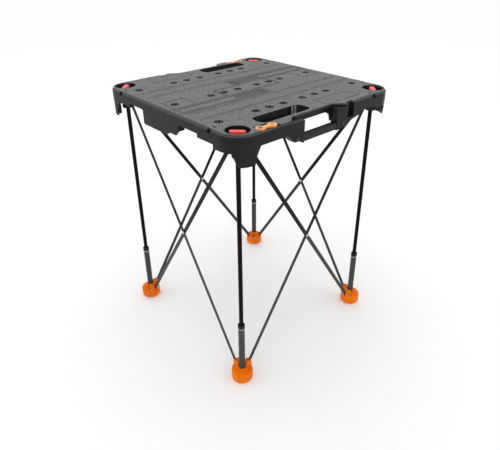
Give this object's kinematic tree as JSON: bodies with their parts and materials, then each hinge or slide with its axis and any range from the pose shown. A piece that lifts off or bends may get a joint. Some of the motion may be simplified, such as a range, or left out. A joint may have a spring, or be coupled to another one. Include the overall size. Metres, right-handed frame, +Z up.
{
  "type": "folding work table",
  "caption": "Square folding work table: lift-off moulded top with dog holes, corner latches and carry handles, on telescoping legs with scissor braces and round feet.",
  "frame": {"origin": "on the floor under the middle of the top", "axes": "+Z up; -Y out of the side whose carry handle is nearest the front corner; the dog-hole rows run along X"},
  "size_m": [0.626, 0.63, 0.813],
  "materials": {
    "deck_plastic": "textured moulded black-grey plastic, matt with a fine grain",
    "handle_plastic": "black moulded plastic, satin",
    "fitting_plastic": "black moulded plastic, satin",
    "knob_red": "red moulded plastic, semi-gloss",
    "shaft_plastic": "black moulded plastic",
    "link_orange": "light orange moulded plastic, semi-gloss",
    "foot_orange": "orange moulded plastic, satin",
    "tube_black": "gloss black powder coat on steel tube",
    "sleeve_grey": "dark grey powder coat on steel tube, satin",
    "collar_plastic": "black moulded plastic",
    "bar_steel": "dark grey powder coat on flat steel bar, satin",
    "pin_steel": "zinc-plated steel"
  },
  "bodies": {
    "foot_front": {"foot_front": "foot_orange", "foot_pins_front": "pin_steel", "leg_sleeve_front": "sleeve_grey", "sleeve_collar_front": "collar_plastic"},
    "corner_front": {"top_fitting_front": "fitting_plastic", "top_pins_front": "pin_steel", "upper_tube_front": "tube_black", "tube_cap_front": "collar_plastic"},
    "latch_front": {"latch_knob_front": "knob_red", "latch_shaft_front": "shaft_plastic"},
    "foot_right": {"foot_right": "foot_orange", "foot_pins_right": "pin_steel", "leg_sleeve_right": "sleeve_grey", "sleeve_collar_right": "collar_plastic"},
    "corner_right": {"top_fitting_right": "fitting_plastic", "top_pins_right": "pin_steel", "upper_tube_right": "tube_black", "tube_cap_right": "collar_plastic"},
    "latch_right": {"latch_knob_right": "knob_red", "latch_shaft_right": "shaft_plastic"},
    "foot_back": {"foot_back": "foot_orange", "foot_pins_back": "pin_steel", "leg_sleeve_back": "sleeve_grey", "sleeve_collar_back": "collar_plastic"},
    "corner_back": {"top_fitting_back": "fitting_plastic", "top_pins_back": "pin_steel", "upper_tube_back": "tube_black", "tube_cap_back": "collar_plastic"},
    "latch_back": {"latch_knob_back": "knob_red", "latch_shaft_back": "shaft_plastic"},
    "foot_left": {"foot_left": "foot_orange", "foot_pins_left": "pin_steel", "leg_sleeve_left": "sleeve_grey", "sleeve_collar_left": "collar_plastic"},
    "corner_left": {"top_fitting_left": "fitting_plastic", "top_pins_left": "pin_steel", "upper_tube_left": "tube_black", "tube_cap_left": "collar_plastic"},
    "latch_left": {"latch_knob_left": "knob_red", "latch_shaft_left": "shaft_plastic"},
    "falling_bar_south": {"falling_bar_south": "bar_steel"},
    "rising_bar_south": {"rising_bar_south": "bar_steel", "scissor_rivet_south": "pin_steel"},
    "falling_bar_east": {"falling_bar_east": "bar_steel"},
    "rising_bar_east": {"rising_bar_east": "bar_steel", "scissor_rivet_east": "pin_steel"},
    "falling_bar_north": {"falling_bar_north": "bar_steel"},
    "rising_bar_north": {"rising_bar_north": "bar_steel", "scissor_rivet_north": "pin_steel"},
    "falling_bar_west": {"falling_bar_west": "bar_steel"},
    "rising_bar_west": {"rising_bar_west": "bar_steel", "scissor_rivet_west": "pin_steel"},
    "table_top": {"top_panel": "deck_plastic", "handle_bar_south": "handle_plastic", "handle_bar_north": "handle_plastic", "handle_screws": "pin_steel", "link_screws": "pin_steel"},
    "link_south": {"connector_link_south": "link_orange"},
    "link_north": {"connector_link_north": "link_orange"}
  },
  "joints": [
    {"name": "frame_fold", "type": "hinge", "parent": "foot_front", "child": "rising_bar_south", "pos_m": [-0.243, -0.268, 0.034], "axis": [0, -1, 0], "range_deg": [0, 31.71]},
    {"name": "south_rivet", "type": "hinge", "parent": "rising_bar_south", "child": "falling_bar_south", "pos_m": [0, -0.268, 0.4025], "axis": [0, -1, 0], "range_deg": [-63.43, 0]},
    {"name": "right_top_pivot", "type": "hinge", "parent": "rising_bar_south", "child": "corner_right", "pos_m": [0.243, -0.268, 0.771], "axis": [0, -1, 0], "range_deg": [-31.71, 0]},
    {"name": "right_foot_pivot", "type": "hinge", "parent": "falling_bar_south", "child": "foot_right", "pos_m": [0.243, -0.268, 0.034], "axis": [0, -1, 0], "range_deg": [0, 31.71]},
    {"name": "front_top_pivot", "type": "hinge", "parent": "falling_bar_south", "child": "corner_front", "pos_m": [-0.243, -0.268, 0.771], "axis": [0, -1, 0], "range_deg": [0, 31.71]},
    {"name": "west_fold", "type": "hinge", "parent": "foot_front", "child": "falling_bar_west", "pos_m": [-0.268, -0.243, 0.034], "axis": [-1, 0, 0], "range_deg": [-31.71, 0]},
    {"name": "west_rivet", "type": "hinge", "parent": "falling_bar_west", "child": "rising_bar_west", "pos_m": [-0.268, 0, 0.4025], "axis": [-1, 0, 0], "range_deg": [0, 63.43]},
    {"name": "left_top_pivot", "type": "hinge", "parent": "falling_bar_west", "child": "corner_left", "pos_m": [-0.268, 0.243, 0.771], "axis": [-1, 0, 0], "range_deg": [0, 31.71]},
    {"name": "left_foot_pivot", "type": "hinge", "parent": "rising_bar_west", "child": "foot_left", "pos_m": [-0.268, 0.243, 0.034], "axis": [-1, 0, 0], "range_deg": [-31.71, 0]},
    {"name": "east_fold", "type": "hinge", "parent": "foot_right", "child": "rising_bar_east", "pos_m": [0.268, -0.243, 0.034], "axis": [1, 0, 0], "range_deg": [0, 31.71]},
    {"name": "east_rivet", "type": "hinge", "parent": "rising_bar_east", "child": "falling_bar_east", "pos_m": [0.268, 0, 0.4025], "axis": [1, 0, 0], "range_deg": [-63.43, 0]},
    {"name": "back_top_pivot", "type": "hinge", "parent": "rising_bar_east", "child": "corner_back", "pos_m": [0.268, 0.243, 0.771], "axis": [1, 0, 0], "range_deg": [-31.71, 0]},
    {"name": "back_foot_pivot", "type": "hinge", "parent": "falling_bar_east", "child": "foot_back", "pos_m": [0.268, 0.243, 0.034], "axis": [1, 0, 0], "range_deg": [0, 31.71]},
    {"name": "north_fold", "type": "hinge", "parent": "foot_back", "child": "rising_bar_north", "pos_m": [0.243, 0.268, 0.034], "axis": [0, 1, 0], "range_deg": [0, 31.71]},
    {"name": "north_rivet", "type": "hinge", "parent": "rising_bar_north", "child": "falling_bar_north", "pos_m": [0, 0.268, 0.4025], "axis": [0, 1, 0], "range_deg": [-63.43, 0]},
    {"name": "top_lift", "type": "slide", "parent": "corner_front", "child": "table_top", "axis": [0, 0, 1], "range_m": [0, 0.15]},
    {"name": "front_latch", "type": "hinge", "parent": "table_top", "child": "latch_front", "pos_m": [-0.268, -0.268, 0.7915], "axis": [0, 0, 1], "range_deg": [0, 90]},
    {"name": "right_latch", "type": "hinge", "parent": "table_top", "child": "latch_right", "pos_m": [0.268, -0.268, 0.7915], "axis": [0, 0, 1], "range_deg": [0, 90]},
    {"name": "back_latch", "type": "hinge", "parent": "table_top", "child": "latch_back", "pos_m": [0.268, 0.268, 0.7915], "axis": [0, 0, 1], "range_deg": [0, 90]},
    {"name": "left_latch", "type": "hinge", "parent": "table_top", "child": "latch_left", "pos_m": [-0.268, 0.268, 0.7915], "axis": [0, 0, 1], "range_deg": [0, 90]},
    {"name": "south_link_swing", "type": "hinge", "parent": "table_top", "child": "link_south", "pos_m": [-0.218, -0.293, 0.808], "axis": [0, 0, -1], "range_deg": [0, 90]},
    {"name": "north_link_swing", "type": "hinge", "parent": "table_top", "child": "link_north", "pos_m": [0.218, 0.293, 0.808], "axis": [0, 0, -1], "range_deg": [0, 90]}
  ],
  "couplings": [
    {"joint": "south_rivet", "follows": "frame_fold", "ratio": -2},
    {"joint": "right_top_pivot", "follows": "frame_fold", "ratio": -1},
    {"joint": "right_foot_pivot", "follows": "frame_fold", "ratio": 1},
    {"joint": "front_top_pivot", "follows": "frame_fold", "ratio": 1},
    {"joint": "west_fold", "follows": "frame_fold", "ratio": -1},
    {"joint": "west_rivet", "follows": "frame_fold", "ratio": 2},
    {"joint": "left_top_pivot", "follows": "frame_fold", "ratio": 1},
    {"joint": "left_foot_pivot", "follows": "frame_fold", "ratio": -1},
    {"joint": "east_fold", "follows": "frame_fold", "ratio": 1},
    {"joint": "east_rivet", "follows": "frame_fold", "ratio": -2},
    {"joint": "back_top_pivot", "follows": "frame_fold", "ratio": -1},
    {"joint": "back_foot_pivot", "follows": "frame_fold", "ratio": 1},
    {"joint": "north_fold", "follows": "frame_fold", "ratio": 1},
    {"joint": "north_rivet", "follows": "frame_fold", "ratio": -2}
  ]
}
